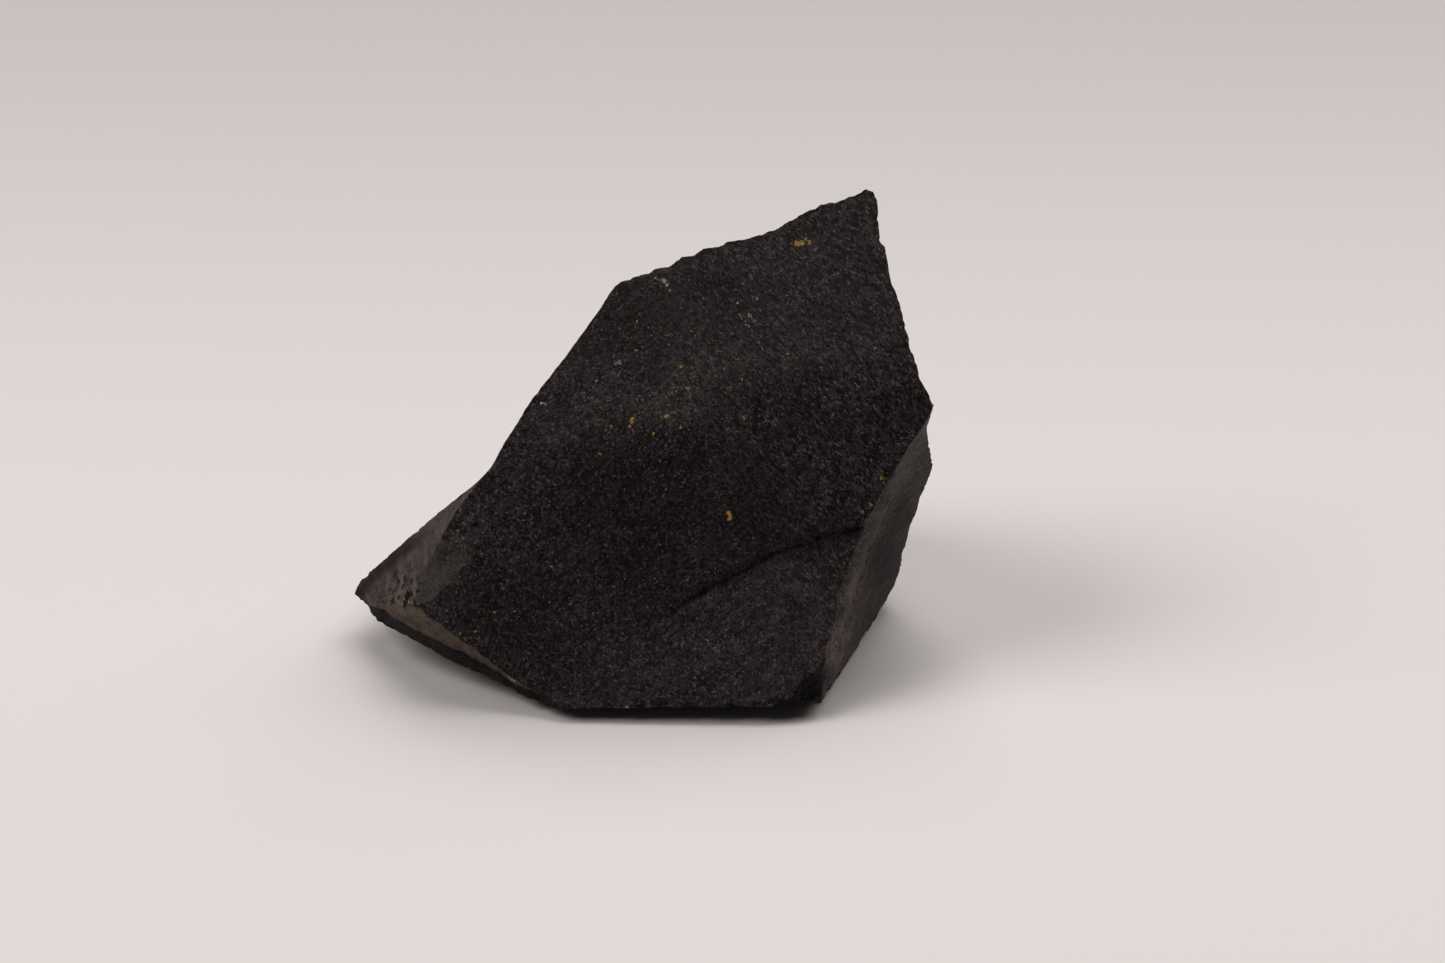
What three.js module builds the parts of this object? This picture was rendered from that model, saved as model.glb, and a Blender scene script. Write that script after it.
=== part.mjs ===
// A hand specimen of black jasper: one lump of fine-grained stone, broken on every side.
//
// A broken stone is bounded by fracture faces that meet in sharp edges. It is described in the same way here:
// named corners, the borders that run between them, and the faces that the borders enclose. Each face is then
// filled with a film of small triangles, dished or bulged a little, and given the low relief of broken stone.
//
// Units are millimetres, +Z is up, and the stone rests on the plane z = 0 with its large split face towards -Y.

import * as THREE from 'three';
import { ImprovedNoise } from 'three/addons/math/ImprovedNoise.js';

// ---------- driving dimensions ----------

const LEAN = THREE.MathUtils.degToRad( 28.7 ); // the split face leans back from upright by this angle
const LIP_HEIGHT = 2.0; // the split face ends above the ground, at an undercut lip
const FINE = 1.0; // longest triangle side on the small facets at the left end
const MEDIUM = 1.9; // on the split face, the right flank and in the scoops along the edges
const COARSE = 2.9; // on the back and the underside
const RELIEF_REACH = 3.0; // relief reaches full strength this far from a sharp edge
const DISH_REACH = 11.0; // and dishing this far
const EDGE_WOBBLE = 0.12; // how far a sharp edge strays from the line between its corners
const WOBBLE_SPACING = 2.2; // from one stray to the next along an edge
const SWELL_SPACING = 9; // between the broad swells of a broken face
const PIT_SPACING = 3; // between the pits and ridges on them
const PIT_SHARE = 0.45; // how deep those are, as a share of the swells
const FILM_ROUNDS = 6; // how often the triangles are turned and settled once they are small enough

// ---------- corners ----------

// A point on the leaning split face: across it, up its slope from the lip, and back from its plane.
function split( across, up, back ) {

	return new THREE.Vector3(
		across,
		up * Math.sin( LEAN ) + back * Math.cos( LEAN ),
		LIP_HEIGHT + up * Math.cos( LEAN ) - back * Math.sin( LEAN )
	);

}

function at( x, y, z ) {

	return new THREE.Vector3( x, y, z );

}

// Corners where three or more borders meet.
const shoulder = split( - 12.6, 48.3, 2.2 );
const tip = split( 17.3, 59.4, 3.0 );
const rightPoint = split( 24.2, 34.8, 0.3 );
const ridgeLeft = split( - 26.5, 27.5, 0.0 );
const notch = split( - 27.9, 26.0, 0.3 );
const bevelTop = split( - 30.0, 23.3, 0.7 );
const flankFoot = split( - 35.7, 11.6, 3.2 );
const leftTip = split( - 43.8, 12.6, 16.0 );
const leftNip = split( - 42.5, 11.5, 14.2 );
const stripEnd = split( - 20.3, 1.3, 1.4 );
const toe = split( - 18.6, - 0.2, 0.8 );
const scarToe = split( - 16.6, - 0.1, 0.6 );
const ledgeTail = split( - 6.2, 10.7, 0.9 );
const ledgeEnd = split( 16.5, 21.5, 0.8 );
const ledgeFoot = split( 16.2, 20.7, 1.7 );
const chipTop = split( 11.8, 6.5, 0.6 );
const chipLeft = split( 7.7, 1.0, 0.1 );
const cornerRight = split( 11.2, 0.5, 0.9 );
const heel = at( 19.3, 24.8, 0.6 );
const hip = at( 24.8, 23.9, 20.7 );

const ribTop = at( 11.0, 38.5, 40.0 );
const scarStart = at( - 17.6, 33.0, 28.8 );
const scarEnd = at( 3.4, 42.5, 31.2 );
const scarFoot = at( 3.0, 42.3, 30.2 );
const waistRight = at( 18.5, 36.0, 13.0 );
const waistMiddle = at( 12.0, 47.0, 15.0 );
const waistBack = at( - 7.0, 48.0, 19.0 );
const waistLeft = at( - 22.0, 40.0, 16.0 );
const backLeft = at( - 38.0, 31.0, 5.5 );
const rimRight = at( 18.0, 36.0, 1.0 );
const rimMiddle = at( 8.5, 45.0, 1.2 );
const rimBack = at( - 8.0, 46.5, 1.0 );
const rimLeft = at( - 21.0, 40.0, 1.5 );
const restFrontLeft = at( - 13.0, 8.0, 0.0 );
const restFrontRight = at( 9.0, 9.0, 0.0 );
const restRight = at( 16.5, 27.0, 0.0 );
const restLeft = at( - 19.0, 37.0, 0.0 );

// ---------- borders, each from corner to corner ----------

const borders = {

	// round the split face
	crest: [ shoulder, split( - 11.8, 48.9, 2.2 ), split( - 9.9, 49.7, 2.3 ), split( - 8.4, 49.9, 2.4 ),
		split( - 7.9, 50.4, 2.3 ), split( - 5.9, 50.8, 2.4 ), split( - 4.7, 51.8, 2.4 ), split( - 3.3, 51.9, 2.5 ),
		split( - 2.2, 52.7, 2.4 ), split( - 0.4, 53.0, 2.5 ), split( 0.4, 53.5, 2.5 ), split( 2.6, 53.9, 2.6 ),
		split( 4.5, 54.4, 2.6 ), split( 6.4, 55.2, 2.7 ), split( 8.3, 56.3, 2.7 ), split( 11.4, 57.9, 2.8 ),
		split( 13.3, 58.2, 2.9 ), split( 15.2, 59.1, 2.9 ), split( 16.5, 59.7, 3.0 ), tip ],
	rightEdge: [ tip, split( 17.8, 58.3, 2.9 ), split( 18.1, 53.8, 2.2 ), split( 18.6, 53.0, 2.1 ),
		split( 19.4, 48.7, 1.5 ), split( 20.1, 47.3, 1.3 ), split( 20.8, 44.4, 0.9 ), split( 21.7, 41.0, 0.6 ),
		split( 22.6, 37.7, 0.3 ), split( 23.4, 36.2, 0.3 ), rightPoint ],
	leftUpper: [ shoulder, split( - 14.3, 45.4, 1.8 ), split( - 18.0, 40.3, 1.0 ), split( - 21.9, 35.3, 0.4 ),
		split( - 24.7, 30.7, 0.1 ), ridgeLeft ],
	leftLower: [ ridgeLeft, notch ],
	ridge: [ ridgeLeft, split( - 18.5, 29.9, - 0.4 ), split( - 10.4, 32.0, - 0.6 ), split( - 5.4, 32.0, - 0.6 ),
		split( - 2.5, 33.8, - 0.6 ), split( 1.3, 34.8, - 0.6 ), split( 4.2, 37.3, - 0.6 ),
		split( 11.8, 39.2, - 0.5 ), split( 19.0, 37.6, - 0.1 ), rightPoint ],
	lip: [ ledgeTail, split( - 0.9, 14.7, 0.8 ), split( 1.8, 16.2, 0.8 ), split( 4.1, 17.9, 0.8 ),
		split( 6.1, 18.8, 0.8 ), split( 9.0, 19.5, 0.8 ), split( 13.2, 21.0, 0.8 ), ledgeEnd ],
	foot: [ ledgeTail, split( - 0.8, 14.2, 1.3 ), split( 2.0, 15.6, 1.5 ), split( 4.4, 17.2, 1.6 ),
		split( 6.3, 18.0, 1.7 ), split( 9.2, 18.8, 1.7 ), split( 13.3, 20.3, 1.7 ), ledgeFoot ],
	scarSide: [ scarToe, split( - 16.6, 4.9, 1.0 ), split( - 14.8, 7.2, 1.2 ), ledgeTail ],
	lipLeft: [ toe, scarToe ],
	lipFront: [ scarToe, split( - 6.6, 0.1, 0.2 ), split( 5.4, 0.2, 0.0 ), chipLeft ],
	faceRightUpper: [ rightPoint, split( 23.5, 33.2, 1.0 ), split( 20.9, 29.3, 0.6 ), split( 18.6, 25.3, 0.6 ),
		ledgeEnd ],
	faceRightLower: [ ledgeFoot, split( 14.6, 17.0, 1.6 ), split( 13.2, 12.7, 1.3 ), split( 12.8, 9.5, 1.0 ),
		chipTop ],
	stepEnd: [ ledgeFoot, ledgeEnd ],

	// the chip at the right end of the lip
	chipRim: [ chipLeft, split( 9.0, 3.2, 0.2 ), split( 10.9, 4.3, 0.4 ), chipTop ],
	chipLip: [ chipLeft, cornerRight ],
	chipEdge: [ cornerRight, split( 11.6, 3.3, 1.8 ), chipTop ],

	// the right flank
	rightFoot: [ cornerRight, at( 13.1, 7.0, 1.2 ), at( 15.7, 14.4, 0.9 ), heel ],
	rightOuter: [ heel, at( 20.9, 26.6, 2.8 ), at( 21.3, 26.5, 4.6 ), at( 22.2, 25.3, 10.7 ), hip ],
	rightOuterTop: [ hip, at( 23.6, 19.3, 27.8 ), rightPoint ],
	flankCrease: [ rightPoint, split( 22.3, 30.2, 2.2 ), split( 20.2, 25.0, 2.4 ), split( 17.3, 19.2, 3.2 ),
		split( 15.8, 13.5, 3.2 ), split( 14.6, 7.7, 3.2 ), split( 13.1, 3.6, 3.4 ), cornerRight ],

	// the left flank, its bevel, and the two narrow strips below
	flankTop: [ notch, bevelTop ],
	flankRim: [ notch, split( - 33.5, 21.9, 6.5 ), split( - 37.9, 18.4, 11.0 ), split( - 43.2, 14.2, 17.0 ),
		leftTip ],
	bevelEdge: [ bevelTop, split( - 32.4, 19.3, 1.4 ), split( - 33.8, 16.6, 2.0 ), split( - 35.1, 14.3, 2.8 ),
		flankFoot ],
	bevelRim: [ bevelTop, split( - 27.9, 20.4, 0.3 ), split( - 28.9, 17.0, 0.7 ), split( - 31.2, 14.5, 1.2 ),
		split( - 33.3, 12.3, 2.2 ), flankFoot ],
	cornerEdge: [ leftTip, leftNip ],
	stripStart: [ leftNip, split( - 40.2, 11.7, 10.5 ), flankFoot ],
	stripTop: [ flankFoot, split( - 32.4, 9.5, 2.4 ), split( - 28.4, 6.6, 2.0 ), split( - 23.8, 3.2, 1.7 ),
		stripEnd ],
	stripFoot: [ leftNip, split( - 40.4, 11.1, 11.0 ), split( - 38.2, 10.0, 8.5 ), split( - 32.7, 7.3, 5.4 ),
		split( - 28.2, 5.3, 4.2 ), split( - 23.9, 2.7, 2.8 ), stripEnd ],
	toeEdge: [ stripEnd, toe ],
	underRim: [ leftNip, at( - 40.5, 14.6, 4.8 ), at( - 36.5, 11.4, 4.5 ), at( - 31.7, 8.6, 3.2 ),
		at( - 26.9, 5.9, 2.5 ), at( - 22.7, 3.2, 1.6 ), toe ],

	// the back, from the crest down to the waist
	shoulderUpper: [ shoulder, scarStart ],
	shoulderLower: [ scarStart, waistLeft ],
	leftRidge: [ notch, waistLeft ],
	tipRib: [ tip, ribTop ],
	ribUpper: [ ribTop, scarEnd ],
	ribStep: [ scarEnd, scarFoot ],
	ribLower: [ scarFoot, waistBack ],
	scarLip: [ scarStart, at( - 11.6, 32.6, 33.0 ), at( - 4.6, 34.9, 34.4 ), at( 0.6, 38.5, 33.2 ), scarEnd ],
	scarBase: [ scarStart, at( - 11.3, 32.4, 31.9 ), at( - 4.4, 34.6, 33.2 ), at( 0.6, 38.3, 32.0 ), scarFoot ],
	ribRight: [ ribTop, waistMiddle ],
	hipRidge: [ hip, waistRight ],
	waistA: [ waistRight, waistMiddle ],
	waistB: [ waistMiddle, waistBack ],
	waistC: [ waistBack, waistLeft ],
	waistD: [ waistLeft, backLeft ],
	leftBack: [ backLeft, leftTip ],

	// the back, from the waist down to the rim of the underside
	postRight: [ rimRight, waistRight ],
	postMiddle: [ rimMiddle, waistMiddle ],
	postBack: [ rimBack, waistBack ],
	rimA: [ heel, rimRight ],
	rimB: [ rimRight, rimMiddle ],
	rimC: [ rimMiddle, rimBack ],
	rimD: [ rimBack, rimLeft ],
	rimE: [ rimLeft, backLeft ],

	// the underside and the flat that the stone rests on
	restA: [ restFrontLeft, restFrontRight ],
	restB: [ restFrontRight, at( 14.0, 17.0, 0.0 ), restRight ],
	restC: [ restRight, at( 14.0, 35.0, 0.0 ), at( 3.0, 42.0, 0.0 ), at( - 9.0, 42.5, 0.0 ), restLeft ],
	restD: [ restLeft, at( - 23.0, 25.0, 0.0 ), at( - 19.0, 13.0, 0.0 ), restFrontLeft ],
	keelLeft: [ toe, restFrontLeft ],
	keelRight: [ restFrontRight, cornerRight ],
	keelHeel: [ restRight, heel ],
	keelBack: [ restLeft, rimLeft ]

};

// ---------- faces ----------

// A face is named borders in order, anticlockwise seen from outside; a minus sign walks a border backwards.
// Faces with the same skin meet in a soft line, and all others in a sharp edge.
const faces = [
	{ skin: 'split face', grain: MEDIUM, dish: 0.0, relief: 0.12, walk: 'leftUpper ridge -rightEdge -crest' },
	{ skin: 'split face', grain: MEDIUM, dish: 0.0, relief: 0.12,
		walk: 'leftLower flankTop bevelRim stripTop toeEdge lipLeft scarSide lip -faceRightUpper -ridge' },
	{ skin: 'split face', grain: MEDIUM, dish: 0.0, relief: 0.12,
		walk: '-scarSide lipFront chipRim -faceRightLower -foot' },
	{ skin: 'ledge', grain: MEDIUM, dish: 0.0, relief: 0.0, walk: 'foot stepEnd -lip' },
	{ skin: 'chip', grain: FINE, dish: 6.0, relief: 0.1, walk: 'chipLip chipEdge -chipRim' },
	{ skin: 'right flank', grain: MEDIUM, dish: 0.0, relief: 0.1,
		walk: 'faceRightUpper -stepEnd faceRightLower -chipEdge -flankCrease' },
	{ skin: 'right flank', grain: MEDIUM, dish: 2.0, relief: 0.3,
		walk: 'rightFoot rightOuter rightOuterTop flankCrease' },
	{ skin: 'bevel', grain: FINE, dish: 0.1, relief: 0.1, walk: 'bevelEdge -bevelRim' },
	{ skin: 'left flank', grain: FINE, dish: 0.2, relief: 0.15,
		walk: 'flankRim cornerEdge stripStart -bevelEdge -flankTop' },
	{ skin: 'strip', grain: FINE, dish: 0.1, relief: 0.1, walk: 'stripFoot -stripTop -stripStart' },
	{ skin: 'lower strip', grain: FINE, dish: 0.1, relief: 0.1, walk: 'underRim -toeEdge -stripFoot' },
	{ skin: 'back left slope', grain: COARSE, dish: 0.6, relief: 0.4, walk: '-flankRim leftRidge waistD leftBack' },
	{ skin: 'back left shoulder', grain: COARSE, dish: 0.8, relief: 0.4,
		walk: '-leftLower -leftUpper shoulderUpper shoulderLower -leftRidge' },
	{ skin: 'back upper', grain: COARSE, dish: 0.9, relief: 0.4,
		walk: 'crest tipRib ribUpper -scarLip -shoulderUpper' },
	{ skin: 'back step', grain: COARSE, dish: 0.0, relief: 0.0, walk: 'scarLip ribStep -scarBase' },
	{ skin: 'back scar', grain: COARSE, dish: 1.3, relief: 0.3,
		walk: 'scarBase ribLower waistC -shoulderLower' },
	{ skin: 'back middle', grain: COARSE, dish: 0.8, relief: 0.4,
		walk: 'ribRight waistB -ribLower -ribStep -ribUpper' },
	{ skin: 'back right', grain: COARSE, dish: - 0.6, relief: 0.4,
		walk: 'rightEdge -rightOuterTop hipRidge waistA -ribRight -tipRib' },
	{ skin: 'low right', grain: COARSE, dish: 0.4, relief: 0.4, walk: '-rightOuter rimA postRight -hipRidge' },
	{ skin: 'low back right', grain: COARSE, dish: - 0.3, relief: 0.4,
		walk: '-postRight rimB postMiddle -waistA' },
	{ skin: 'low back', grain: COARSE, dish: 0.7, relief: 0.4, walk: '-postMiddle rimC postBack -waistB' },
	{ skin: 'low back left', grain: COARSE, dish: 0.8, relief: 0.4,
		walk: '-postBack rimD rimE -waistD -waistC' },
	{ skin: 'under left', grain: COARSE, dish: 0.2, relief: 0.3,
		walk: '-underRim -cornerEdge -leftBack -rimE -keelBack restD -keelLeft' },
	{ skin: 'under front', grain: COARSE, dish: 0.2, relief: 0.1,
		walk: '-chipLip -lipFront -lipLeft keelLeft restA keelRight' },
	{ skin: 'under right', grain: COARSE, dish: 0.0, relief: 0.1, walk: '-rightFoot -keelRight restB keelHeel' },
	{ skin: 'under back', grain: COARSE, dish: 0.0, relief: 0.1,
		walk: '-rimD -rimC -rimB -rimA -keelHeel restC keelBack' },
	{ skin: 'rest', grain: COARSE, dish: 0.0, relief: 0.0, walk: '-restD -restC -restB -restA' }
];

// The place on the straight line from one corner to another, at this share of the way.
function between( from, to, share ) {

	return from.clone().lerp( to, share );

}

// Scoops where flakes have sprung off an edge. Each is the hollow left by a ball that is sunk into the stone to
// this depth at this place, coming in along the line that points outwards.
const scoops = [

	// a row of pits where the left flank meets the strip below it
	{ place: split( - 36.6, 14.2, 3.4 ), outwards: at( - 0.7, - 0.6, 0.4 ), radius: 1.1, depth: 0.6 },
	{ place: split( - 38.2, 13.6, 5.9 ), outwards: at( - 0.7, - 0.6, 0.4 ), radius: 1.3, depth: 0.6 },
	{ place: split( - 36.3, 12.6, 2.9 ), outwards: at( - 0.4, - 0.8, 0.3 ), radius: 1.0, depth: 0.6 },
	{ place: split( - 40.0, 12.3, 9.3 ), outwards: at( - 0.6, - 0.7, 0.0 ), radius: 1.3, depth: 0.6 },

	// larger, shallower scoops along the edges of the back
	{ place: between( shoulder, scarStart, 0.45 ), outwards: at( - 0.5, 0.5, 0.6 ), radius: 11, depth: 1.3 },
	{ place: between( tip, ribTop, 0.55 ), outwards: at( 0.5, 0.7, 0.5 ), radius: 9, depth: 1.0 },
	{ place: between( ribTop, waistMiddle, 0.45 ), outwards: at( 0.5, 0.8, 0.2 ), radius: 14, depth: 1.3 },
	{ place: between( scarFoot, waistBack, 0.65 ), outwards: at( - 0.1, 0.8, 0.5 ), radius: 10, depth: 0.8 },
	{ place: between( waistMiddle, waistBack, 0.4 ), outwards: at( 0.0, 0.9, 0.3 ), radius: 15, depth: 1.5 },
	{ place: between( waistBack, waistLeft, 0.6 ), outwards: at( - 0.4, 0.8, 0.4 ), radius: 12, depth: 1.3 },
	{ place: between( hip, waistRight, 0.45 ), outwards: at( 0.8, 0.5, 0.1 ), radius: 11, depth: 1.2 },
	{ place: between( waistLeft, backLeft, 0.35 ), outwards: at( - 0.4, 0.7, 0.6 ), radius: 10, depth: 1.1 }

];

// ---------- from borders to a first, rough set of triangles ----------

const points = [];
const indices = new Map();

function indexFor( point ) {

	if ( ! indices.has( point ) ) {

		indices.set( point, points.length );
		points.push( point );

	}

	return indices.get( point );

}

// The closed loop of corners round a face. Each border ends where the next one starts.
function loopAround( face ) {

	return face.walk.split( ' ' ).flatMap( ( name ) => {

		const border = name.startsWith( '-' ) ? borders[ name.slice( 1 ) ].toReversed() : borders[ name ];
		return border.slice( 0, - 1 ).map( indexFor );

	} );

}

// The direction that a loop faces, by Newell's method, which also serves loops that are not quite flat.
function facingOf( loop ) {

	const facing = new THREE.Vector3();
	loop.forEach( ( index, k ) => {

		const here = points[ index ];
		const next = points[ loop[ ( k + 1 ) % loop.length ] ];
		facing.x += ( here.y - next.y ) * ( here.z + next.z );
		facing.y += ( here.z - next.z ) * ( here.x + next.x );
		facing.z += ( here.x - next.x ) * ( here.y + next.y );

	} );
	return facing.normalize();

}

function triangulate( face ) {

	const loop = loopAround( face );
	const flatten = new THREE.Quaternion().setFromUnitVectors( facingOf( loop ), new THREE.Vector3( 0, 0, 1 ) );
	const outline = loop.map( ( index ) => points[ index ].clone().applyQuaternion( flatten ) );
	return THREE.ShapeUtils.triangulateShape( outline, [] )
		.map( ( corners ) => ( { corners: corners.map( ( k ) => loop[ k ] ), face } ) );

}

// ---------- refining the triangles ----------

const edgeName = ( a, b ) => ( a < b ? `${ a } ${ b }` : `${ b } ${ a }` );
const lengthOf = ( a, b ) => points[ a ].distanceTo( points[ b ] );

// For every edge, its two triangles, each with the edge's ends a and b in that triangle's own order.
// Two faces that fold sharply can both have a chord between the same two border points: that is two edges.
function pairsOf( triangles ) {

	const sides = new Map();
	for ( const triangle of triangles ) {

		for ( let k = 0; k < 3; k ++ ) {

			const [ a, b, opposite ] = [ 0, 1, 2 ].map( ( step ) => triangle.corners[ ( k + step ) % 3 ] );
			const name = edgeName( a, b );
			if ( ! sides.has( name ) ) sides.set( name, [] );
			sides.get( name ).push( { triangle, a, b, opposite } );

		}

	}

	return [ ...sides.values() ].flatMap( ( found ) => {

		if ( found.length === 2 ) return [ { pair: found, shared: false } ];
		return [ ...Map.groupBy( found, ( side ) => side.triangle.face ).values() ]
			.map( ( pair ) => ( { pair, shared: true } ) );

	} );

}

// The longest side that a triangle of this face may have here. Scoops need small triangles to look round.
function grainAt( point, face ) {

	const inScoop = scoops.some( ( { place, radius, depth } ) =>
		point.distanceTo( place ) < Math.sqrt( 2 * radius * depth ) + MEDIUM );
	return inScoop ? Math.min( face.grain, MEDIUM ) : face.grain;

}

function longestSide( { corners: [ a, b, c ] } ) {

	return Math.max( lengthOf( a, b ), lengthOf( b, c ), lengthOf( c, a ) );

}

// Halve each edge that is too long and is the longest side of both its triangles, and each chord that two faces
// share. Returns how many were halved.
function halveLongEdges( triangles ) {

	let halved = 0;
	for ( const { pair, shared } of pairsOf( triangles ) ) {

		const [ { a, b } ] = pair;
		const halfway = points[ a ].clone().lerp( points[ b ], 0.5 );
		const length = lengthOf( a, b );
		const tooLong = length > Math.min( ...pair.map( ( { triangle } ) => grainAt( halfway, triangle.face ) ) );
		const longest = pair.every( ( { triangle } ) => longestSide( triangle ) <= length );
		if ( ! pair.every( isSideOf ) || ! ( shared || tooLong && longest ) ) continue;

		const middle = indexFor( halfway );
		for ( const side of pair ) {

			side.triangle.corners = [ side.a, middle, side.opposite ];
			triangles.push( { corners: [ middle, side.b, side.opposite ], face: side.triangle.face } );

		}

		halved ++;

	}

	return halved;

}

// Whether a side still belongs to its triangle, which may have been changed since the side was noted.
function isSideOf( { triangle, a, b, opposite } ) {

	return [ a, b, opposite ].every( ( corner ) => triangle.corners.includes( corner ) );

}

function angleAt( corner, a, b ) {

	const toA = points[ a ].clone().sub( points[ corner ] );
	const toB = points[ b ].clone().sub( points[ corner ] );
	return toA.angleTo( toB );

}

function facingOfTriangle( corners ) {

	const triangle = new THREE.Triangle( ...corners.map( ( corner ) => points[ corner ] ) );
	return triangle.getNormal( new THREE.Vector3() );

}

// Turn the shared side of two triangles of one face where that makes them less thin, as Delaunay's rule says.
function turnEdges( triangles ) {

	const pairs = pairsOf( triangles );
	const names = new Set( pairs.map( ( { pair: [ { a, b } ] } ) => edgeName( a, b ) ) );
	for ( const { pair } of pairs ) {

		const [ one, two ] = pair;
		const turned = edgeName( one.opposite, two.opposite );
		if ( one.triangle.face !== two.triangle.face || ! pair.every( isSideOf ) || names.has( turned ) ) continue;
		if ( angleAt( one.opposite, one.a, one.b ) + angleAt( two.opposite, two.a, two.b ) <= Math.PI ) continue;

		const turnedCorners = [ [ one.a, two.opposite, one.opposite ], [ two.opposite, one.b, one.opposite ] ];
		const facing = facingOfTriangle( one.triangle.corners ).add( facingOfTriangle( two.triangle.corners ) );
		if ( turnedCorners.some( ( corners ) => facingOfTriangle( corners ).dot( facing ) <= 0 ) ) continue;

		[ one.triangle.corners, two.triangle.corners ] = turnedCorners;
		names.add( turned );

	}

}

// The points on the edges whose two faces differ, in the sense that is given.
function pointsBetween( triangles, differs ) {

	const fixed = new Set();
	for ( const { pair: [ one, two ] } of pairsOf( triangles ) ) {

		if ( differs( one.triangle.face, two.triangle.face ) ) fixed.add( one.a ).add( one.b );

	}

	return fixed;

}

// Move every free point to the middle of the triangles round it, as a soap film settles between wires.
function settle( triangles, fixed, rounds ) {

	for ( let round = 0; round < rounds; round ++ ) {

		const sums = points.map( () => new THREE.Vector3() );
		const weights = points.map( () => 0 );
		for ( const { corners } of triangles ) {

			const triangle = new THREE.Triangle( ...corners.map( ( corner ) => points[ corner ] ) );
			const middle = triangle.getMidpoint( new THREE.Vector3() );
			const area = triangle.getArea();
			for ( const corner of corners ) {

				sums[ corner ].addScaledVector( middle, area );
				weights[ corner ] += area;

			}

		}

		points.forEach( ( point, index ) => {

			if ( ! fixed.has( index ) ) point.copy( sums[ index ].divideScalar( weights[ index ] ) );

		} );

	}

}

const triangles = faces.flatMap( triangulate );
const otherFace = ( one, two ) => one !== two;
const otherSkin = ( one, two ) => one.skin !== two.skin;

while ( halveLongEdges( triangles ) > 0 ) {

	turnEdges( triangles );
	settle( triangles, pointsBetween( triangles, otherFace ), 2 );

}

for ( let round = 0; round < FILM_ROUNDS; round ++ ) {

	turnEdges( triangles );
	settle( triangles, pointsBetween( triangles, otherFace ), 4 );

}

const sharp = pointsBetween( triangles, otherSkin );
settle( triangles, sharp, 8 );

// ---------- relief ----------

const noise = new ImprovedNoise();

// Broken stone at two scales.
function unevenness( { x, y, z } ) {

	const noiseAt = ( spacing ) => noise.noise( x / spacing, y / spacing, z / spacing );
	return noiseAt( SWELL_SPACING ) + PIT_SHARE * noiseAt( PIT_SPACING );

}

// The small stray of an edge point, read from three far-apart places in the same noise.
function wobble( { x, y, z } ) {

	const stray = ( apart ) => noise.noise( x / WOBBLE_SPACING + apart, y / WOBBLE_SPACING, z / WOBBLE_SPACING );
	return new THREE.Vector3( stray( 0 ), stray( 40 ), stray( 80 ) ).multiplyScalar( EDGE_WOBBLE );

}

function normalsOf( triangles ) {

	const normals = points.map( () => new THREE.Vector3() );
	for ( const { corners } of triangles ) {

		const [ a, b, c ] = corners.map( ( corner ) => points[ corner ] );
		const facing = b.clone().sub( a ).cross( c.clone().sub( a ) );
		corners.forEach( ( corner ) => normals[ corner ].add( facing ) );

	}

	return normals.map( ( normal ) => normal.normalize() );

}

function scoopOut( point ) {

	for ( const { place, outwards, radius, depth } of scoops ) {

		const centre = outwards.clone().setLength( radius - depth ).add( place );
		if ( point.distanceTo( centre ) < radius ) point.sub( centre ).setLength( radius ).add( centre );

	}

}

const normals = normalsOf( triangles );
const edgePoints = [ ...sharp ].map( ( index ) => points[ index ].clone() );
const faceOf = new Map();
for ( const { corners, face } of triangles ) corners.forEach( ( corner ) => faceOf.set( corner, face ) );

const restingTriangles = triangles.filter( ( { face } ) => face.skin === 'rest' );
const resting = new Set( restingTriangles.flatMap( ( { corners } ) => corners ) );

points.forEach( ( point, index ) => {

	if ( resting.has( index ) ) return;

	if ( sharp.has( index ) ) {

		point.add( wobble( point ) );

	} else {

		const { dish, relief } = faceOf.get( index );
		const toEdge = Math.min( ...edgePoints.map( ( edgePoint ) => edgePoint.distanceTo( point ) ) );
		const rise = relief * unevenness( point ) * THREE.MathUtils.smoothstep( toEdge, 0, RELIEF_REACH );
		const sink = dish * THREE.MathUtils.smoothstep( toEdge, 0, DISH_REACH );
		point.addScaledVector( normals[ index ], rise - sink );

	}

	scoopOut( point );

} );

// ---------- the part ----------

const geometry = new THREE.BufferGeometry();
const coordinates = points.flatMap( ( point ) => point.toArray() );
geometry.setAttribute( 'position', new THREE.Float32BufferAttribute( coordinates, 3 ) );
geometry.setIndex( triangles.flatMap( ( { corners } ) => corners ) );

// The origin is under the middle of the stone, on the ground.
geometry.computeBoundingBox();
const middle = geometry.boundingBox.getCenter( new THREE.Vector3() );
geometry.translate( - middle.x, - middle.y, 0 );
geometry.computeVertexNormals();

const stone = new THREE.Mesh(
	geometry,
	new THREE.MeshStandardMaterial( { color: 0x2a2726, roughness: 0.7, metalness: 0.0, flatShading: true } )
);
stone.name = 'stone';

const part = new THREE.Group();
part.add( stone );

export default part;
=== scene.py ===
# %% [markdown]
# # A hand specimen of black jasper
#
# The object is one lump of black jasper, about 69 mm wide and 53 mm tall, broken on every side. Jasper is
# quartz so fine-grained that it breaks like dull glass: large smooth faces, sharp edges, and small curved
# flakes sprung off them. There is nothing to assemble. All the work is in two things: the fine form of the
# broken surface, and a near-black stone that still shows its grain.
#
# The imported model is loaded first, as a fixed frame. It has the large faces, the ledge, the chips and the
# scoops at their real size. This script lays a finer skin over it and never moves it.

# %% Load the frame
import math

import bmesh
import bpy
import numpy as np
from mathutils import Matrix, Vector, noise
from mathutils.bvhtree import BVHTree
from mathutils.kdtree import KDTree


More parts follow.
